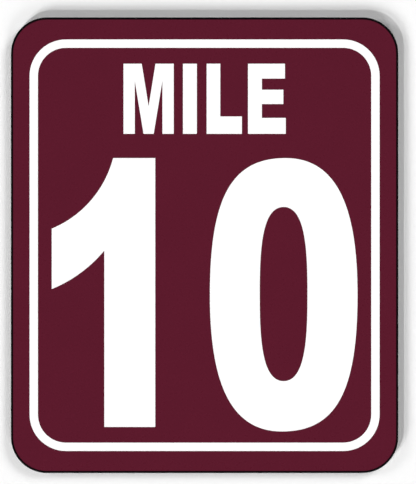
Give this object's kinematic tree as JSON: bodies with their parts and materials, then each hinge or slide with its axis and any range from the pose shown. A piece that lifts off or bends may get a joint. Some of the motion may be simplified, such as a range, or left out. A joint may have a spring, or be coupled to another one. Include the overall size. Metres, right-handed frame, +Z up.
{
  "type": "mile marker sign",
  "caption": "Flat upright mile marker panel with rounded corners, a dark red face, a black edge line and an inset white border, fixed by its back.",
  "frame": {"origin": "centre of the back face, the face that is fixed to a wall, a board or a post plate", "axes": "+Z up, +X to the reader's right, -Y out of the face towards the reader"},
  "size_m": [0.216, 0.0053, 0.254],
  "materials": {
    "bare_sheet": "satin mill finish, with sawn and deburred edges",
    "black_film": "satin gloss film",
    "red_film": "satin gloss film",
    "white_film": "satin gloss film"
  },
  "bodies": {
    "root": {"panel": "bare_sheet", "edge_line": "black_film", "background_film": "red_film", "border_stripe": "white_film"}
  },
  "joints": []
}
